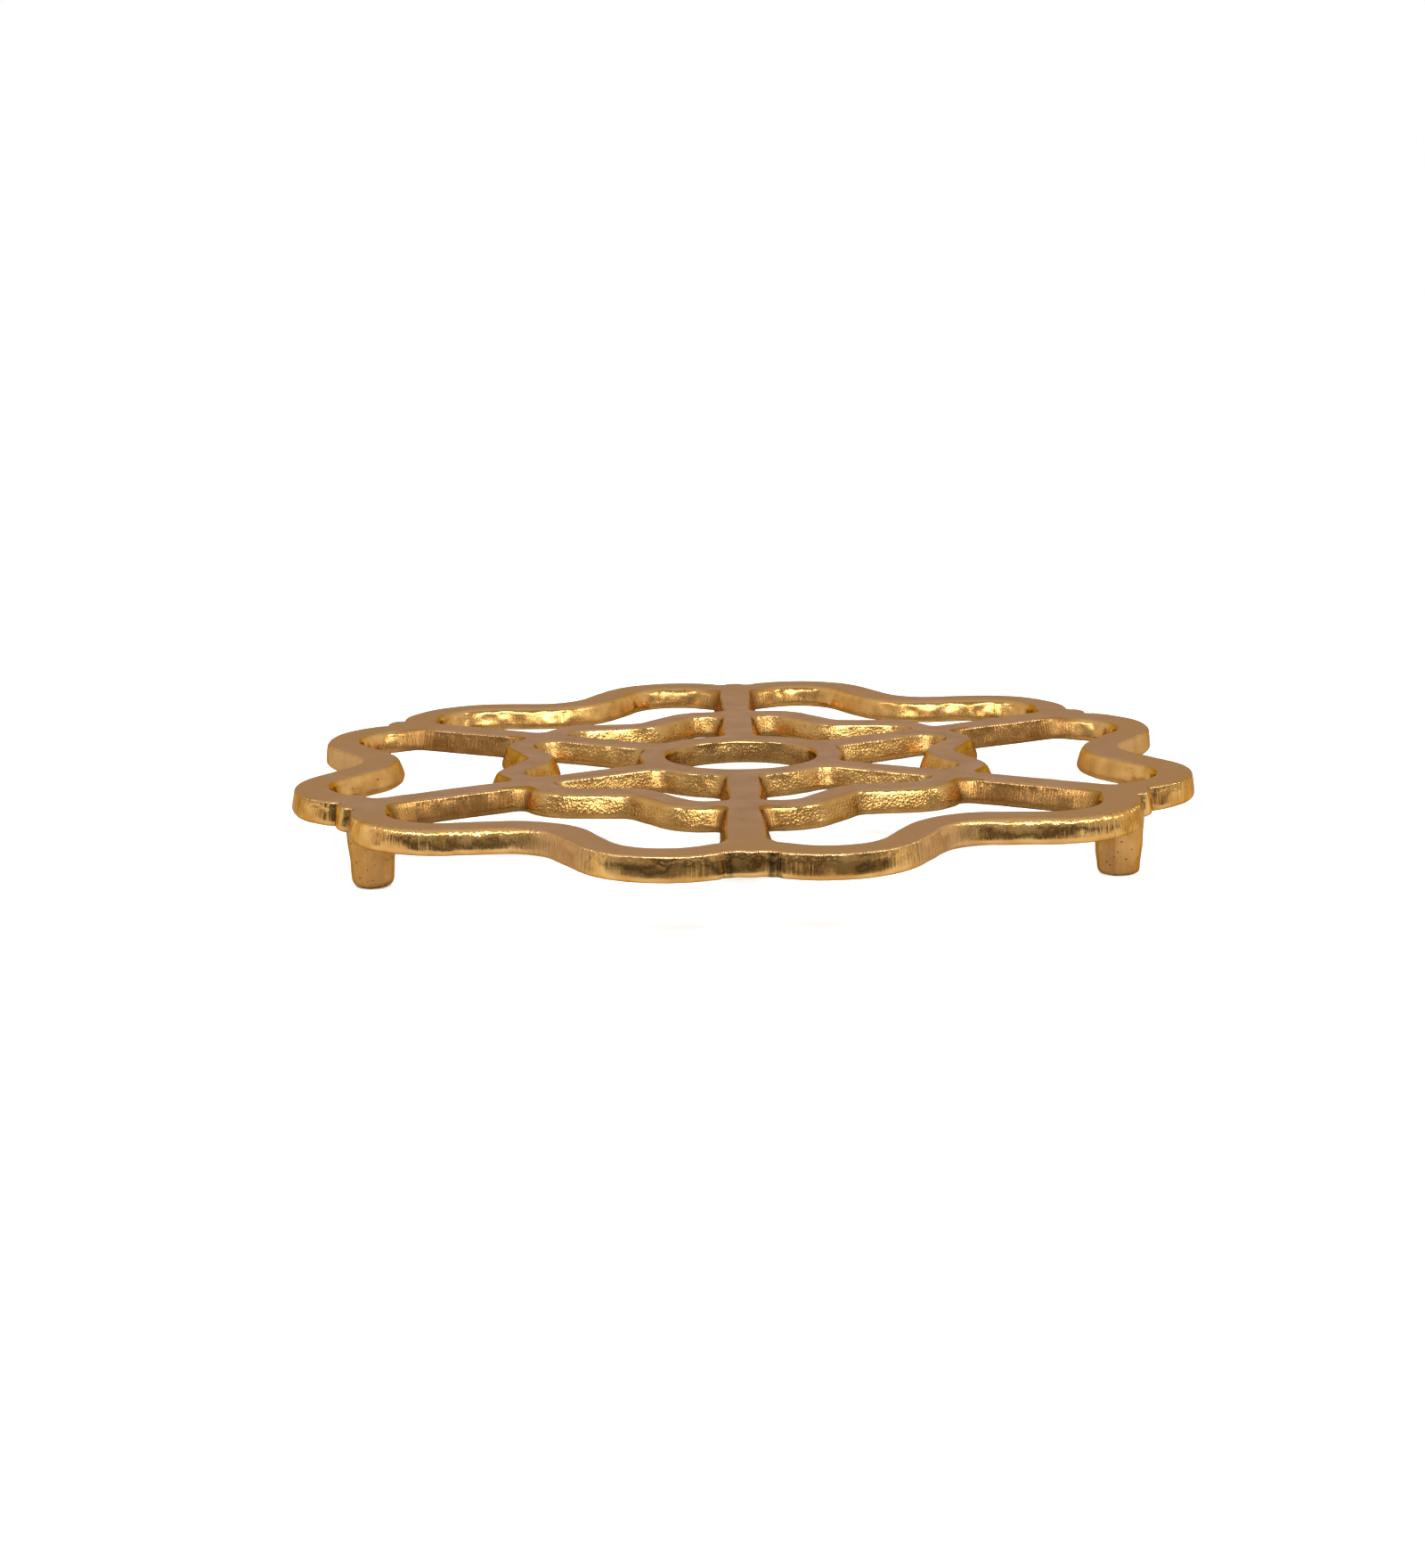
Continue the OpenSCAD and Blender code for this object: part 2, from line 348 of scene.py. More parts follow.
def stub_places(outline):
    """1 on the stubs of a spoke that a ring carries, falling smoothly to 0 between 6 and 11
    millimetres from the spoke's middle line."""
    return smooth((11 - np.abs(spoke_frame(outline)[1])) / 5)


# A wider step between two columns is a cut across a spoke. The highest levels of a wall take the
# finish of the ground top, three of them in slot 1 and two in slot 2.
widest_step = 2.5
ground_levels = {1: 3, 2: 2}


def in_scene(name, data):
    """An object of that mesh, lamp or camera, put in the scene."""
    made = bpy.data.objects.new(name, data)
    bpy.context.scene.collection.objects.link(made)
    return made


def brass_piece(name, corners, faces, uv):
    """A piece of those corners and faces, with a UV map in metres, shaded smooth except where its
    faces meet steeply."""
    mesh = bpy.data.meshes.new(name)
    mesh.from_pydata(corners * MM, [], faces)
    layer = mesh.uv_layers.new(name="wall")
    layer.uv.foreach_set("vector", (uv * MM).astype(np.float32).ravel())
    mesh.shade_smooth()
    mesh.set_sharp_from_angle(angle=sharp_angle)
    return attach(in_scene(name, mesh), "root")


def casting(name, loops):
    """A closed piece from its walls. Each loop is its columns, which run with the metal on their
    left, and a material slot. Neighbouring columns are joined by quads, or by one flat face across
    a cut, the flats at the two ends of the columns are filled, and each wall carries its run and
    height as a UV map."""
    corners, faces, slots, uv, bottoms, tops = [], [], [], [], [], []
    first = 0
    for wall, slot in loops:
        count, levels = wall.shape[:2]
        corners.append(wall.reshape(-1, 3))
        run = run_along(wall[np.arange(count + 1) % count, 0, :2])
        cut = np.diff(run) > widest_step
        here = first + np.arange(count)[:, None] * levels + np.arange(levels)
        there = np.roll(here, -1, axis=0)
        quads = np.stack([here[:, :-1], there[:, :-1], there[:, 1:], here[:, 1:]], axis=-1)[~cut]
        ends = np.concatenate([there, here[:, ::-1]], axis=1)[cut]
        faces += quads.reshape(-1, 4).tolist() + ends.tolist()
        level_slots = np.where(np.arange(levels - 1) < levels - 1 - ground_levels[slot], slot, 0)
        slots += [np.tile(level_slots, len(quads)), np.full(len(ends), slot)]
        grid = np.stack(np.meshgrid(run, run_along(wall[0]), indexing="ij"), axis=-1)
        left, right = grid[:-1], grid[1:]
        quad_uv = np.stack([left[:, :-1], right[:, :-1], right[:, 1:], left[:, 1:]], axis=2)[~cut]
        end_uv = np.concatenate([right, left[:, ::-1]], axis=1)[cut]
        uv += [quad_uv.reshape(-1, 2), end_uv.reshape(-1, 2)]
        bottoms.append(here[:, 0])
        tops.append(here[:, -1])
        first += count * levels
    corners = np.concatenate(corners)
    for rings, up in ((bottoms, -1), (tops, 1)):
        triangles = tessellate_polygon([[Vector(corners[i]) for i in ring] for ring in rings])
        triangles = np.concatenate(rings)[np.array(triangles)]
        a, b, c = corners[triangles[:, 0]], corners[triangles[:, 1]], corners[triangles[:, 2]]
        wrong = np.cross(b - a, c - a)[:, 2] * up < 0
        triangles[wrong] = triangles[wrong][:, ::-1]
        faces += triangles.tolist()
        slots.append(np.full(len(triangles), 0 if up > 0 else 1))
        uv.append(corners[triangles.reshape(-1), :2])
    piece = brass_piece(name, corners, faces, np.concatenate(uv))
    piece.data.polygons.foreach_set("material_index", np.concatenate(slots).astype(np.int32))
    marks = {"hollow": hollow, "filed": filed_places, "satin": satin_places, "stub": stub_places}
    for mark, marked in marks.items():
        values = [np.repeat(marked(wall[:, wall.shape[1] // 2, :2]), wall.shape[1])
                  for wall, _ in loops]
        attribute = piece.data.attributes.new(mark, "FLOAT", "POINT")
        attribute.data.foreach_set("value", np.concatenate(values).astype(np.float32))
    return piece


def colour(code):
    """An sRGB hex colour as linear red, green, blue and alpha: the sRGB curve undone."""
    srgb = np.array([int(code[i:i + 2], 16) / 255 for i in (1, 3, 5)])
    linear = np.where(srgb <= 0.04045, srgb / 12.92, ((srgb + 0.055) / 1.055) ** 2.4)
    return (*linear.tolist(), 1.0)


def node(tree, kind, inputs=None, output=0, **settings):
    """Adds a node with its settings, and gives its output of that place or name. An input that is a
    socket is linked, and any other is a value."""
    made = tree.nodes.new("ShaderNode" + kind)
    for name, value in settings.items():
        setattr(made, name, value)
    for name, value in (inputs or {}).items():
        if isinstance(value, bpy.types.NodeSocket):
            tree.links.new(value, made.inputs[name])
        else:
            made.inputs[name].default_value = value
    return made.outputs[output] if len(made.outputs) else None


def per_metre(size_mm):
    """The noise scale whose blotches are that many millimetres across."""
    return 1 / (size_mm * MM)


def blank_material(name):
    """A new material, and its empty node tree."""
    material = bpy.data.materials.new(name)
    material.use_nodes = True
    material.node_tree.nodes.clear()
    return material, material.node_tree


def mottled(tree, patches, start, dark, end, light):
    """Two tones of one metal: the dark one where the patches are under start, the light one where
    they are over the end, and an even blend between."""
    share = node(tree, "MapRange", {"Value": patches, "From Min": start, "From Max": end})
    return node(tree, "Mix", {
        0: share, 6: colour(dark), 7: colour(light)}, output=2, data_type="RGBA")


def finish_metal(tree, tone, rough, height, unit_height, glance):
    """Bare metal with a tone, roughness and relief. The relief is in units of unit_height metres,
    and glance is the tone that the metal turns to at a low angle."""
    bump = node(tree, "Bump", {"Distance": unit_height, "Height": height})
    shader = node(tree, "BsdfPrincipled", {
        "Base Color": tone, "Metallic": 1, "Roughness": rough, "Normal": bump,
        "Specular Tint": colour(glance)})
    node(tree, "OutputMaterial", {"Surface": shader})


def ground_brass():
    """Brass ground flat on a belt and left satin. The grit leaves fine crossing scratches, and the
    brown tone is lacquer over metal that has begun to dull, thinner and more golden towards the
    rim; small sand pits stay open. Real scratches are a few hundredths of a millimetre wide, too
    fine to show, so they are drawn 0.3 to 0.4 mm wide."""
    material, tree = blank_material("ground satin brass")
    place = node(tree, "TexCoord", output="Object")
    blotches, grain, slow = [
        node(tree, "TexNoise", {
            "Vector": place, "Scale": per_metre(size), "Detail": detail, "Roughness": roughness})
        for size, detail, roughness in ((7, 5, 0.62), (0.55, 3, 0.7), (30, 2, 0.5))
    ]
    scratches = []
    for turn, across, along in ((0.35, 0.28, 9), (-0.9, 0.4, 7)):
        turned = node(tree, "Mapping", {
            "Vector": place, "Rotation": (0, 0, turn),
            "Scale": (per_metre(across), per_metre(along), per_metre(across))})
        scratches.append(node(tree, "TexNoise", {"Vector": turned, "Scale": 1, "Detail": 2}))
    lines = node(tree, "Math", {0: scratches[0], 1: scratches[1]}, operation="MULTIPLY")
    pits = node(tree, "TexVoronoi", {"Vector": place, "Scale": per_metre(2.6)})
    pit = node(tree, "MapRange", {"Value": pits, "From Min": 0.03, "From Max": 0.09})
    tone = mottled(tree, blotches, 0.32, "#a3866f", 0.7, "#b4977f")
    out = node(tree, "VectorMath", {0: place}, output="Value", operation="LENGTH")
    spread = node(tree, "Math", {0: slow, 1: 70 * MM, 2: out}, operation="MULTIPLY_ADD")
    bare = node(tree, "MapRange", {
        "Value": spread, "From Min": 95 * MM, "From Max": 155 * MM},
        interpolation_type="SMOOTHSTEP")
    tint = node(tree, "Mix", {0: bare, 6: tone, 7: colour("#ab8b67")}, output=2, data_type="RGBA")
    rough = node(tree, "MapRange", {
        "Value": grain, "From Min": 0.3, "From Max": 0.7, "To Min": 0.36, "To Max": 0.5})
    height = node(tree, "Math", {0: lines, 1: 0.9, 2: grain}, operation="MULTIPLY_ADD")
    height = node(tree, "Math", {0: pit, 1: 2.5, 2: height}, operation="MULTIPLY_ADD")
    finish_metal(tree, tint, rough, height, 0.012 * MM, "#c9ab90")
    return material


def darker_in_hollows(tree, metal):
    """Browner, darker metal where the outline turns sharply inwards, in the grooves and the
    corners.
    """
    depth = node(tree, "Attribute", output="Fac", attribute_name="hollow")
    share = node(tree, "Math", {0: depth, 1: 0.85}, operation="MULTIPLY")
    return node(tree, "Mix", {0: share, 6: metal, 7: colour("#5a4d31")}, output=2, data_type="RGBA")


def near_top(tree, start, end):
    """0 from that many millimetres under the top downwards, rising smoothly to 1 at the end."""
    place = node(tree, "TexCoord", output="Object")
    height = node(tree, "SeparateXYZ", {0: place}, output="Z")
    return node(tree, "MapRange", {
        "Value": height, "From Min": (top_height - start) * MM,
        "From Max": (top_height - end) * MM}, interpolation_type="SMOOTHSTEP")


def rubbed(tree, metal, tone):
    """The tone of the ground top, which runs over the edge and fades out below it."""
    return node(tree, "Mix", {
        0: near_top(tree, 0.75, 0.1), 6: metal, 7: colour(tone)}, output=2, data_type="RGBA")


def cast_brass(name, dark, light, lump, grain, stroke, slant, shine=0.36, pit_gap=3.4,
               pit_size=0.3, dressed_stubs=False, buffed=False):
    """The skin of a sand casting, brushed but not polished. Soft lumps 3 mm across make its gloss
    break up into spots, the grains of sand leave a sugary relief, and a file has left slanting
    strokes. The three heights are in millimetres, the slant is the strokes' angle, shine is the
    middle of the roughness, and sand holes of that size lie about pit_gap millimetres apart. The
    stubs that carry a dressed spoke may be dressed like it, and where it was buffed, the valleys
    are left even and dull. Real moulding sand is about 0.2 mm, too fine to show, so its grains are
    drawn 0.55 mm across."""
    hole_depth, dressed_stroke, dressed_grain = 0.08, 0.24, 0.05
    material, tree = blank_material(name)
    place = node(tree, "TexCoord", output="Object")
    run = node(tree, "UVMap", uv_map="wall")
    blotches, sand, lumps = [
        node(tree, "TexNoise", {
            "Vector": place, "Scale": per_metre(size), "Detail": detail, "Roughness": roughness})
        for size, detail, roughness in ((4.5, 4, 0.6), (0.55, 1, 0.5), (3.0, 0.6, 0.3))
    ]
    slanted = node(tree, "Mapping", {
        "Vector": run, "Rotation": (0, 0, slant), "Scale": (per_metre(0.5), per_metre(7), 1)})
    strokes = node(tree, "TexNoise", {
        "Vector": slanted, "Scale": 1, "Detail": 2}, noise_dimensions="2D")
    holes = node(tree, "TexVoronoi", {"Vector": place, "Scale": per_metre(pit_gap)})
    hole = node(tree, "MapRange", {
        "Value": holes, "From Min": pit_size / pit_gap / 2, "From Max": pit_size / pit_gap})
    tone = mottled(tree, blotches, 0.3, dark, 0.68, light)
    worn = rubbed(tree, darker_in_hollows(tree, tone), "#ac8860")
    pitted = node(tree, "Mix", {0: hole, 6: colour("#7d5829"), 7: worn}, output=2, data_type="RGBA")
    rough = node(tree, "MapRange", {
        "Value": sand, "From Min": 0.3, "From Max": 0.7, "To Min": shine + 0.05,
        "To Max": shine - 0.05})
    middle_height = (grain + stroke) / 2 + hole_depth
    height = node(tree, "Math", {0: lumps, 1: lump, 2: -lump / 2}, operation="MULTIPLY_ADD")
    if dressed_stubs:
        stub = node(tree, "Attribute", output="Fac", attribute_name="stub")
        pitted = node(tree, "Mix", {
            0: stub, 6: pitted, 7: colour("#9d7541")}, output=2, data_type="RGBA")
        stroke = node(tree, "MapRange", {"Value": stub, "To Min": stroke, "To Max": dressed_stroke})
        grain = node(tree, "MapRange", {"Value": stub, "To Min": grain, "To Max": dressed_grain})
        dull_share = stub
        if buffed:
            satin = node(tree, "Attribute", output="Fac", attribute_name="satin")
            dull_share = node(tree, "Math", {0: satin, 1: stub}, operation="MAXIMUM")
            rough = node(tree, "Math", {0: dull_share, 1: 0.18, 2: rough}, operation="MULTIPLY_ADD")
        even = node(tree, "MapRange", {"Value": dull_share, "To Min": 1, "To Max": 0.15})
        height = node(tree, "Math", {0: height, 1: even}, operation="MULTIPLY")
    for relief, depth in ((sand, grain), (strokes, stroke), (hole, hole_depth)):
        height = node(tree, "Math", {0: relief, 1: depth, 2: height}, operation="MULTIPLY_ADD")
    height = node(tree, "Math", {0: height, 1: middle_height}, operation="SUBTRACT")
    edge = near_top(tree, 1.5, 0.7)
    smoothed = node(tree, "MapRange", {"Value": edge, "To Min": 1, "To Max": 0.35})
    height = node(tree, "Math", {0: height, 1: smoothed}, operation="MULTIPLY")
    rough = node(tree, "Math", {0: edge, 1: -0.12, 2: rough}, operation="MULTIPLY_ADD")
    depth = node(tree, "Attribute", output="Fac", attribute_name="hollow")
    rough = node(tree, "Math", {
        0: depth, 1: 0.3, 2: rough}, operation="MULTIPLY_ADD", use_clamp=True)
    finish_metal(tree, pitted, rough, height, MM, "#cba982")
    return material


ground = ground_brass()
sugary = cast_brass("sand cast brass, sugary", "#a97d43", "#c4995b", lump=0.16,
                    grain=0.13, stroke=0.05, slant=0.5, shine=0.3)
# The hub hole's wall takes a darker copy of the sugary brass: painted shade for the inside of the
# hole.
sugary_shaded_hole = cast_brass("sand cast brass, hub hole, painted shade", "#9b713e", "#b48d56", lump=0.16,
                         grain=0.12, stroke=0.05, slant=0.5, shine=0.3)


def finish_in(piece, materials, slot, *nodes):
    """Gives a piece its materials and hides the solids that it stands for. The slot is not used."""
    for material in materials:
        piece.data.materials.append(material)
    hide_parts(*nodes)


def window_middle(i, reach):
    """The point, that far out, in the middle of the window after spoke i."""
    return polar(np.array((i + 0.5) * PETAL_TURN - np.pi / 2)) * reach


def window_walls(metal, reach, cut, profile, far_profile=None, rim_side=False):
    """A ring's wall in all six windows that it borders, one stretch from spoke to spoke in each. On
    the rim side of the windows it runs clockwise, so that the metal is on its left there too."""
    stretches = []
    for i in range(PETALS):
        pins = [pin(metal, i, 1, cut), pin(metal, i + 1, -1, cut)]
        stretches.append(between_cuts(metal, window_middle(i, reach),
                                      *(pins[::-1] if rim_side else pins), profile, far_profile))
    return np.concatenate(stretches[::-1] if rim_side else stretches)


# A cut lies this far past the corner between a ring and a spoke, where the wall has run straight.
past_corner = 3.6
inner_profile = wall_profile(inner_lean, cast_belly, top_edge_radius)
inner_window_reach = 35.0
hub_cut = hub_middle + hub_ring_width / 2 + inner_lean + past_corner
hub_outside = window_walls(hub_metal, inner_window_reach, hub_cut, inner_profile)
hole_profile = wall_profile(hub_hole_lean, cast_belly, top_edge_radius)
hub_hole = whole_loop(hub_metal, hub_middle, hole_profile, clockwise=True)
hub = casting("brass_hub_ring", [(hub_outside, 1), (hub_hole, 2)])
finish_in(hub, [ground, sugary, sugary_shaded_hole], "cast_brass", "hub_ring")

# Petal ring
# The smaller wavy ring halfway out, cast in one with the spokes that cross it. Six shallow petals
# with round corners, each centred on a spoke. Its walls keep the grain of the sand.
petal_reach = 57.8
petal_ring_width = 6.6
petal_corner_radius = 8.6
petal_corner_offset = 8.0
petal_dip = 0.3
petal_valley_depth = 7.7
petal_valley_share = 0.45
petal_outer_edge_radius = 1.4
outer_spoke_widths = np.array([8.0, 7.4, 7.2, 7.5, 7.2, 6.8])
outer_spoke_shifts = np.array([-0.5, 0.0, 0.1, 0.0, -0.1, 0.0])

# A spoke's bar stops short of a ring's middle line, and its round end reaches it. Each ring has its
# spokes with it well past the cuts.
bar_short = 4
outer_spoke_end = 90.0


def touching_arcs(tip, radius, offset, dip, depth, valley_share):
    """Half a petal of a ring's centreline, in the frame of its spoke: a crown arc that dips at the
    spoke, a lobe that touches it, and half a valley. Every arc is its middle, its radius and the
    angles that bound it. The straight flank touches the lobe and the valley at its two ends."""
    lobe = np.array([offset, tip - radius])
    crown_radius = (offset ** 2 - 2 * radius * dip + dip ** 2) / (2 * dip)
    crown = np.array([0, tip - dip + crown_radius])
    crown_turn = np.arctan2(offset, crown[1] - lobe[1])
    out = polar(np.array(np.pi / 2 - PETAL_TURN / 2))
    floor = tip - depth
    widest = (lobe @ lobe - 2 * floor * (lobe @ out) + floor ** 2 - radius ** 2) / (
        2 * (lobe @ out - floor + radius))
    valley_radius = valley_share * widest
    valley = (floor + valley_radius) * out
    gap = valley - lobe
    flank = np.arctan2(gap[1], gap[0]) + np.arccos((radius + valley_radius) / np.linalg.norm(gap))
    arcs = [
        (crown, crown_radius, -np.pi / 2, -np.pi / 2 + crown_turn),
        (lobe, radius, flank, np.pi / 2 + crown_turn),
        (valley, valley_radius, np.pi + flank, np.pi + np.pi / 2 - PETAL_TURN / 2),
    ]
    return arcs, (lobe + radius * polar(flank), valley - valley_radius * polar(flank))


def wavy_ring(across, along, centreline, width):
    """Distance to a ring: for each arc, how far a point is from its circle if it lies in the arc's
    angle, with spare radians at both ends; how far it is from the straight flank; the least of
    these, less half the ring's width."""
    spare = 0.01
    arcs, (flank_start, flank_end) = centreline
    points = np.stack([np.abs(across), along], axis=-1)
    flank = flank_end - flank_start
    share = np.clip((points - flank_start) @ flank / (flank @ flank), 0, 1)
    nearest = np.linalg.norm(points - flank_start - share[..., None] * flank, axis=-1)
    for middle, radius, start, end in arcs:
        arm = points - middle
        turn = (np.arctan2(arm[..., 1], arm[..., 0]) - start + spare) % (2 * np.pi)
        gap = np.abs(np.hypot(arm[..., 0], arm[..., 1]) - radius)
        nearest = np.where(turn <= end - start + 2 * spare, np.minimum(nearest, gap), nearest)
    return nearest - width / 2


petal_tip = petal_reach - petal_ring_width / 2
petal_crown = petal_tip - petal_dip
petal_line = touching_arcs(petal_tip, petal_corner_radius, petal_corner_offset, petal_dip,
                           petal_valley_depth, petal_valley_share)


def petal_metal(points):
    """Distance to the petal ring and the spokes on both sides of it, less what is uneven."""
    spoke, across, along = spoke_frame(points)
    ring = wavy_ring(across, along, petal_line, petal_ring_width)
    inner = bar(across, along, inner_spoke_widths[spoke], hub_middle,
                petal_crown - bar_short)
    outer = bar(across - outer_spoke_shifts[spoke], along, outer_spoke_widths[spoke],
                petal_crown + bar_short, outer_spoke_end)
    return merged(ring, np.minimum(inner, outer), corner_fill) - uneven(points)


petal_sight_reach = 74.0
past_inner_corner = 3.4
petal_profile = wall_profile(inner_lean, full_belly, petal_outer_edge_radius)
outer_window_reach = 60.0
petal_inner_cut = petal_crown - petal_ring_width / 2 - inner_lean - past_inner_corner
petal_outer_cut = petal_crown + petal_ring_width / 2 + inner_lean + past_corner
petal_inside = window_walls(petal_metal, inner_window_reach, petal_inner_cut, inner_profile,
                            rim_side=True)
petal_outside = window_walls(petal_metal, petal_sight_reach, petal_outer_cut, inner_profile,
                             petal_profile)
petal_ring = casting("brass_petal_ring", [(petal_outside, 2), (petal_inside, 1)])
sugary_out = cast_brass("sand cast brass, sugary, stubs dressed", "#a97d43", "#c4995b",
                        lump=0.12, grain=0.17, stroke=0.05, slant=0.5, shine=0.3,
                        dressed_stubs=True)
finish_in(petal_ring, [ground, sugary, sugary_out], "cast_brass", "petal_ring")

# Rim
# The wavy outer rim of six petals with two lobes each. The round ends of the spokes stand out of
# its clefts. The outer wall is filed and half polished by hand, which leaves upright strokes, soft
# dents and a bright line along the top edge; the inner wall stays as cast.
rim_reach = 102.8
rim_width = 8.2
rim_lobe_radius = 16.6
rim_lobe_offset = 16.0
rim_cleft_depth = 4.6
rim_valley_depth = 14.6
rim_valley_share = 0.76
rim_outer_lean = 0.65
rim_belly = 0.1
rim_top_edge_radius = 0.6
buffed_lean = 0.9
buffed_belly = 0.24
buffed_edge_radius = 1.7
rim_inner_edge_radius = 1.7
rim_sight_reach = 112
spoke_end_radii = np.array([6.0, 5.2, 5.1, 5.2, 5.3, 5.2])
spoke_end_proud = np.array([0.8, 2.0, 1.9, 2.0, 2.1, 2.0])
spoke_end_fill = 0.5
groove_across = np.array([4.7, 3.5, 3.4, 3.5, 3.6, 3.5])
groove_radii = np.array([1.0, 1.5, 1.5, 1.5, 1.5, 1.5])
groove_proud = 2.0
groove_fill = 0.4
rim_tip = rim_reach - rim_width / 2
rim_crown = rim_tip - rim_cleft_depth
rim_line = touching_arcs(rim_tip, rim_lobe_radius, rim_lobe_offset, rim_cleft_depth,
                         rim_valley_depth, rim_valley_share)
rim_edge = rim_crown + rim_width / 2


def rim_metal(points):
    """Distance to the rim, its spokes and their round ends, less what is uneven, with a groove
    filed down each side of a spoke's end: outside the groove's circle counts as metal."""
    spoke, across, along = spoke_frame(points)
    ring = wavy_ring(across, along, rim_line, rim_width)
    spokes = bar(across - outer_spoke_shifts[spoke], along, outer_spoke_widths[spoke],
                 petal_crown, rim_crown - bar_short)
    radii, proud = spoke_end_radii[spoke], spoke_end_proud[spoke]
    ends = np.hypot(across, along - rim_edge - proud + radii) - radii
    metal = merged(merged(ring, spokes, corner_fill), ends, spoke_end_fill) - uneven(points)
    middles = np.abs(across) - groove_across[spoke], along - rim_edge - groove_proud
    return -merged(-metal, np.hypot(*middles) - groove_radii[spoke], groove_fill)


rim_cut = rim_crown - rim_width / 2 - inner_lean - past_corner
rim_inner_profile = wall_profile(inner_lean, full_belly, rim_inner_edge_radius)
rim_inside = window_walls(rim_metal, outer_window_reach, rim_cut, inner_profile, rim_inner_profile,
                          rim_side=True)
rim_outer_profile = wall_profile(rim_outer_lean, rim_belly, rim_top_edge_radius)
buffed_profile = wall_profile(buffed_lean, buffed_belly, buffed_edge_radius)


def rim_profiles(feet):
    """The wall's profile at each column: the filed one, or on the buffed sides of the petals a
    fuller one, with a smooth step between them from 4 to 9 degrees off the spoke."""
    share = smooth((off_spoke(feet) - 4) / 5) * (1 - satin_side(feet))
    return rim_outer_profile + (buffed_profile - rim_outer_profile) * share[:, None, None]


rim_outside = whole_loop(rim_metal, -rim_sight_reach, rim_profiles, clockwise=False)
rim = casting("brass_rim", [(rim_outside, 2), (rim_inside, 1)])


def filed_brass():
    """Brass filed upright and then rubbed over, so that it is nearly a mirror with soft dents. The
    file's strokes, 0.7 mm apart, stay in patches and cross the bright top edge, which is dulled in
    places where it wasn't buffed."""
    dent_depth, ripple_depth, stroke_depth, grain_depth = 0.38, 0.2, 0.38, 0.005
    material, tree = blank_material("filed and polished brass")
    place = node(tree, "TexCoord", output="Object")
    run = node(tree, "UVMap", uv_map="wall")
    patches, dents, grain, worn_stretches, ripples = [
        node(tree, "TexNoise", {"Vector": place, "Scale": per_metre(size), "Detail": detail})
        for size, detail in ((22, 2), (4.4, 0.5), (0.5, 3), (8, 1), (1.2, 1))
    ]
    places = node(tree, "Attribute", output="Fac", attribute_name="filed")
    patches = node(tree, "Math", {0: places, 1: 0.22, 2: patches}, operation="MULTIPLY_ADD")
    satin = node(tree, "Attribute", output="Fac", attribute_name="satin")
    patches = node(tree, "Math", {0: satin, 1: 0.06, 2: patches}, operation="MULTIPLY_ADD")
    filed = node(tree, "MapRange", {
        "Value": patches, "From Min": 0.48, "From Max": 0.68, "To Min": 0.22})
    upright = node(tree, "Mapping", {"Vector": run, "Scale": (per_metre(0.7), per_metre(14), 1)})
    strokes = node(tree, "TexNoise", {
        "Vector": upright, "Scale": 1, "Detail": 3, "Roughness": 0.6}, noise_dimensions="2D")
    strokes = node(tree, "Math", {0: strokes, 1: filed}, operation="MULTIPLY")
    tone = mottled(tree, dents, 0.3, "#d19a55", 0.7, "#e8b76f")
    matt = node(tree, "Math", {0: satin, 1: 0.7}, operation="MULTIPLY")
    paler = node(tree, "Mix", {0: matt, 6: tone, 7: colour("#c9a474")}, output=2, data_type="RGBA")
    worn = rubbed(tree, darker_in_hollows(tree, paler), "#b58f62")
    rough = node(tree, "MapRange", {
        "Value": grain, "From Min": 0.3, "From Max": 0.7, "To Min": 0.1, "To Max": 0.17})
    rough = node(tree, "Math", {0: satin, 1: 0.32, 2: rough}, operation="MULTIPLY_ADD")
    dulled = node(tree, "MapRange", {
        "Value": worn_stretches, "From Min": 0.4, "From Max": 0.52, "To Max": 0.2},
        interpolation_type="SMOOTHSTEP")
    unbuffed = node(tree, "MapRange", {
        "Value": places, "From Min": 0.1, "From Max": 0.3, "To Min": 1, "To Max": 0.2})
    dulled = node(tree, "Math", {0: dulled, 1: unbuffed}, operation="MULTIPLY")
    dulled = node(tree, "Math", {0: dulled, 1: near_top(tree, 2.2, 1.2)}, operation="MULTIPLY")
    rough = node(tree, "Math", {0: rough, 1: dulled}, operation="ADD")
    upper = node(tree, "MapRange", {"Value": near_top(tree, 2.4, 1.0), "To Min": 0.12})
    ripples = node(tree, "Math", {0: ripples, 1: 0.5}, operation="SUBTRACT")
    ripples = node(tree, "Math", {0: ripples, 1: upper}, operation="MULTIPLY")
    height = node(tree, "Math", {0: dents, 1: dent_depth}, operation="MULTIPLY")
    for relief, depth in ((ripples, ripple_depth), (strokes, stroke_depth), (grain, grain_depth)):
        height = node(tree, "Math", {0: relief, 1: depth, 2: height}, operation="MULTIPLY_ADD")
    finish_metal(tree, worn, rough, height, MM, "#cba982")
    return material


filed = filed_brass()
lumpy = cast_brass("sand cast brass, rubbed", "#b48447", "#d3a461", lump=0.5, grain=0.02,
                   stroke=0.03, slant=-0.4, shine=0.27, dressed_stubs=True, buffed=True)
finish_in(rim, [ground, lumpy, filed], "cast_brass", "outer_rim")

# Inner and outer spokes
# Twelve straight bars of the same casting, between the hub and the petal ring and between that and
# the rim. They meet the rings where their corners have run out to straight walls.
spoke_names = ["front", "front_right", "back_right", "back", "back_left", "front_left"]


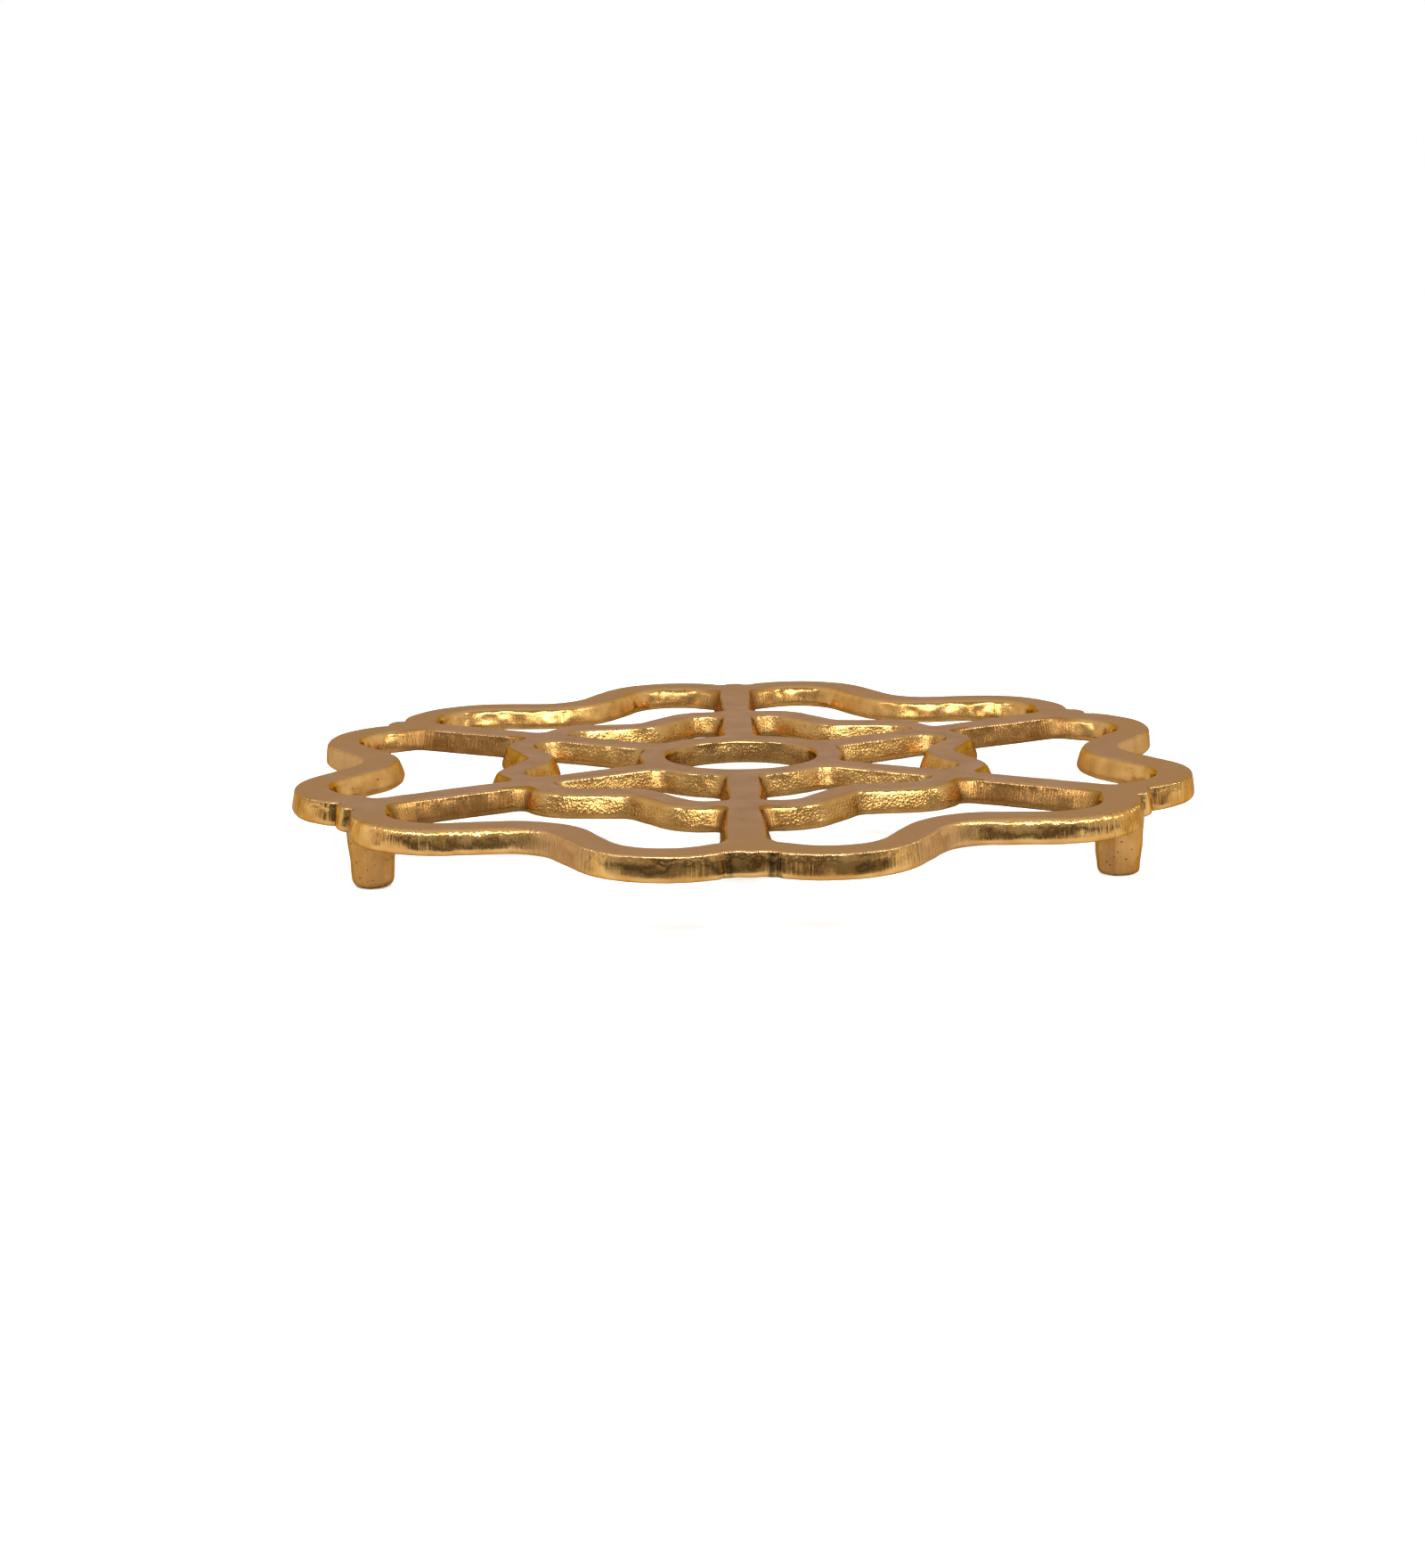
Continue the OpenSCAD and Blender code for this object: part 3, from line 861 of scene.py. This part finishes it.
def cast_spoke(name, spoke, hub_side, hub_side_cut, rim_side, rim_side_cut, window_reach):
    """A spoke from one cut to the other. Its ends take the columns of the pieces that they meet,
    and the walls between fade from the one piece's metal to the other's."""

    def metal(points):
        _, _, along = spoke_frame(points)
        share = np.clip((along - hub_side_cut) / (rim_side_cut - hub_side_cut), 0, 1)
        return hub_side(points) * (1 - share) + rim_side(points) * share

    walls = []
    for side, window, cuts in ((-1, spoke - 1, (hub_side_cut, rim_side_cut)),
                               (1, spoke, (rim_side_cut, hub_side_cut))):
        first, last = [pin(metal, spoke, side, cut) for cut in cuts]
        middle = window_middle(window, window_reach)
        walls.append(between_cuts(metal, middle, first, last, inner_profile))
    return casting(name, [(np.concatenate(walls), 1)])


dressed = [
    cast_brass(f"cast brass dressed with a file, {side}", "#886033", "#a17845", lump=0.1,
               grain=0.05, stroke=0.27, slant=slant, shine=0.33)
    for side, slant in (("left", 0.35), ("right", -0.6))
]
spans = {
    "inner": (hub_metal, hub_cut, petal_metal, petal_inner_cut, inner_window_reach),
    "outer": (petal_metal, petal_outer_cut, rim_metal, rim_cut, outer_window_reach),
}
for i, place in enumerate(spoke_names):
    walls = {"inner": sugary, "outer": dressed[1 if "right" in place else 0]}
    for span, cuts in spans.items():
        spoke = cast_spoke(f"brass_{span}_spoke_{place}", i, *cuts)
        finish_in(spoke, [ground, walls[span]], "spoke_brass", f"{span}_spoke_{place}")

# Feet
# Three tapered pegs of cast brass under the clefts of the rim, dressed with a file. Each is flush
# with the rim's outer wall, into which its outer side runs, and its end is rounded off.
foot_top_radius = 5.5
foot_tip_radius = 4.6
foot_flare = 0.36
foot_flare_height = 1.6
peg_flats = 8
flat_share = 0.4
peg_sides = 96
peg_rows = 22
edge_rows = 7
foot_edges = {"foot_back": 1.6, "foot_front_left": 2.2, "foot_front_right": 1.2}

# The wavelength in millimetres, height as a share of the radius, and seed of a foot's unevenness.
peg_dents = (9, 0.016, 7), (3.5, 0.006, 8)


def peg(name, place, edge_radius, seed):
    """A peg: the profile of its radius over its height is carried round an upright axis, with the
    outline pushed in and out by a slow unevenness and, flat_share of the way, to the flats that the
    file left. Its two ends are closed by fans."""
    low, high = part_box(place)
    middle = np.array([low.x + high.x, low.y + high.y]) / 2 / MM
    tip, root = np.array([foot_tip_radius, 0.0]), np.array([foot_top_radius, under_height])
    end = rounded(np.zeros(2), tip, root, edge_radius, edge_rows)
    share = np.linspace(0, 1, peg_rows)[1:, None]
    side = end[-1] * (1 - share) + root * share
    above = side[:, 1] - under_height + foot_flare_height
    side[:, 0] += foot_flare * np.clip(above / foot_flare_height, 0, 1) ** 3
    inner = np.linspace(0.15, 0.85, 3)[:, None] * [end[0, 0], 0]
    profile = np.concatenate([inner, end, side])
    turn = np.linspace(0, 2 * np.pi, peg_sides, endpoint=False)
    radius, height = profile[:, 0][:, None], profile[:, 1][:, None]
    ring = np.stack([np.cos(turn) * radius, np.sin(turn) * radius, height + 0 * turn], axis=-1)
    across_flat = (turn + seed) % (2 * np.pi / peg_flats) - np.pi / peg_flats
    flats = (np.cos(np.pi / peg_flats) / np.cos(across_flat) - 1) * flat_share
    dented = sum(depth * waves(ring + seed, size, draw) for size, depth, draw in peg_dents)
    ring[..., :2] *= (1 + dented + flats)[..., None]
    ring[..., :2] += middle
    corners = np.concatenate([ring.reshape(-1, 3), [[*middle, 0.0], [*middle, under_height]]])
    here = np.arange(radius.size * turn.size).reshape(-1, turn.size)
    there = np.roll(here, -1, axis=1)
    quads = np.stack([here[:-1], there[:-1], there[1:], here[1:]], axis=-1).reshape(-1, 4)
    hubs = here.size + np.zeros_like(here[0])
    fans = np.concatenate([np.stack([hubs, there[0], here[0]], axis=-1),
                           np.stack([hubs + 1, here[-1], there[-1]], axis=-1)])
    around = np.concatenate([quads.ravel(), fans.ravel()])
    return brass_piece(name, corners, quads.tolist() + fans.tolist(), corners[around][:, [0, 2]])


dull = cast_brass("cast brass, dull and pitted", "#c18b4a", "#d9a662", lump=0.3, grain=0.08,
                  stroke=0.16, slant=0.0, shine=0.38, pit_gap=1.5, pit_size=0.26)
for seed, place in enumerate(foot_edges):
    foot = peg("brass_" + place, place, foot_edges[place], 30.0 * seed)
    finish_in(foot, [dull], "foot_brass", place)

# Table
# A wide sheet of white card under the trivet. It takes the soft shadow, and it is bright enough
# that its edge is lost. For all rays but the camera's its colour is painted shade, darker near the
# trivet and almost black more than 0.19 m in front, so the metal mirrors it darker, as a dark room
# in front.
card_half = 3.0
sheet = bpy.data.meshes.new("table")
card_corners = card_half * np.array([(-1, -1, 0), (1, -1, 0), (1, 1, 0), (-1, 1, 0)])
sheet.from_pydata(card_corners, [], [(0, 1, 2, 3)])
in_scene("table", sheet)
card, card_tree = blank_material("white card")
seen = node(card_tree, "LightPath", output="Is Camera Ray")
card_place = node(card_tree, "TexCoord", output="Object")
card_y = node(card_tree, "SeparateXYZ", {0: card_place}, output="Y")
# Painted shade: for all rays but the camera's, the card's colour is almost black more than 0.19 m
# in front and 0.6 of its white from 0.1 m in front backwards.
near = node(card_tree, "MapRange", {
    "Value": card_y, "From Min": -0.19, "From Max": -0.1, "To Min": 0.08, "To Max": 0.6},
    interpolation_type="SMOOTHSTEP")
shade = node(card_tree, "Math", {0: near, 1: seen}, operation="MAXIMUM")
tint = node(card_tree, "Mix", {
    0: shade, 6: colour("#000000"), 7: colour("#f2f2f2")}, output=2, data_type="RGBA")
lift = node(card_tree, "Math", {0: seen, 1: 0.4}, operation="MULTIPLY")
card_shader = node(card_tree, "BsdfPrincipled", {
    "Base Color": tint, "Roughness": 0.9, "Emission Color": colour("#ffffff"),
    "Emission Strength": lift})
node(card_tree, "OutputMaterial", {"Surface": card_shader})
sheet.materials.append(card)

# Light
# A white room that the metal mirrors with a dark lower front, as behind the camera. A wide softbox
# in front and two small ones at the sides, all above, draw the bright lines along the edges.
world = bpy.data.worlds.new("studio")
bpy.context.scene.world = world
world.use_nodes = True
air = world.node_tree
air.nodes.clear()
look = node(air, "TexCoord", output="Generated")
forth = node(air, "SeparateXYZ", {0: look}, output="Y")
up = node(air, "SeparateXYZ", {0: look}, output="Z")
ahead = node(air, "MapRange", {
    "Value": forth, "From Min": 0.05, "From Max": -0.45}, interpolation_type="SMOOTHSTEP")
front = node(air, "MapRange", {
    "Value": up, "From Min": 0.05, "From Max": 0.26, "To Min": 0.07, "To Max": 0.42},
    interpolation_type="SMOOTHSTEP")
room = node(air, "MapRange", {"Value": ahead, "To Min": 1.0, "To Max": front})
mirrored = node(air, "LightPath", output="Is Glossy Ray")
strength = node(air, "MapRange", {"Value": mirrored, "To Min": 1.0, "To Max": room})
sky = node(air, "Background", {"Color": colour("#ffffff"), "Strength": strength})
node(air, "OutputWorld", {"Surface": sky})


def softbox(name, azimuth, elevation, away, width, height, brightness):
    """A lamp that faces the trivet, so many metres away, at an azimuth from the front and an
    elevation in degrees: its power is its brightness times pi times its area."""
    a, e = np.radians([azimuth, elevation])
    back = Vector((np.sin(a) * np.cos(e), -np.cos(a) * np.cos(e), np.sin(e)))
    lamp = bpy.data.lights.new(name, "AREA")
    lamp.shape = "RECTANGLE"
    lamp.size, lamp.size_y = width, height
    lamp.energy = brightness * np.pi * width * height
    facing_trivet = back.to_track_quat("Z", "Y").to_matrix().to_4x4()
    in_scene(name, lamp).matrix_world = Matrix.Translation(back * away) @ facing_trivet


softbox("front_softbox", -2, 47, 0.9, 0.8, 0.18, 15.0)
softbox("right_softbox", 68, 42, 0.9, 0.14, 0.2, 20.0)
softbox("left_softbox", -68, 44, 0.9, 0.1, 0.16, 16.0)

# Camera
# A long lens, low in front of the trivet and tipped a little to one side. It was fitted to the
# outline of the trivet, and its focal length is in pixels of the whole picture.
camera_distance = 0.6003
camera_elevation = np.radians(11.022)
trivet_turn = np.radians(0.933)
camera_roll = np.radians(0.882)
focal_pixels = 2892.5
picture_width, picture_height = 1600, 1760
hub_pixel = (831.66, 846.24)
sensor = 36.0


def turned(axis, angle):
    """The rotation matrix of an angle about X, Y or Z."""
    return np.array(Matrix.Rotation(angle, 3, axis))


facing = np.array([0, np.cos(camera_elevation), -np.sin(camera_elevation)])
rightwards = np.array([1.0, 0, 0])
upwards = np.cross(rightwards, facing)
rolled = turned("Z", camera_roll) @ np.stack([rightwards, upwards, facing])
aim = unit(np.array([(hub_pixel[0] - picture_width / 2) / focal_pixels,
                     -(hub_pixel[1] - picture_height / 2) / focal_pixels, 1.0]))
swing = np.array(Vector((0, 0, 1)).rotation_difference(Vector(aim)).to_matrix())
view = swing @ rolled @ turned("Z", trivet_turn)
spot = turned("Z", -trivet_turn) @ (-camera_distance * facing) + [0, 0, top_height * MM]
camera_data = bpy.data.cameras.new("camera")
camera_data.sensor_width = sensor
camera_data.lens = focal_pixels * sensor / picture_height
camera = in_scene("camera", camera_data)
pose = np.eye(4)
pose[:3, :3] = np.stack([view[0], view[1], -view[2]], axis=1)
pose[:3, 3] = spot
camera.matrix_world = Matrix(pose.tolist())
bpy.context.scene.camera = camera
bpy.context.scene.view_settings.view_transform = "Standard"
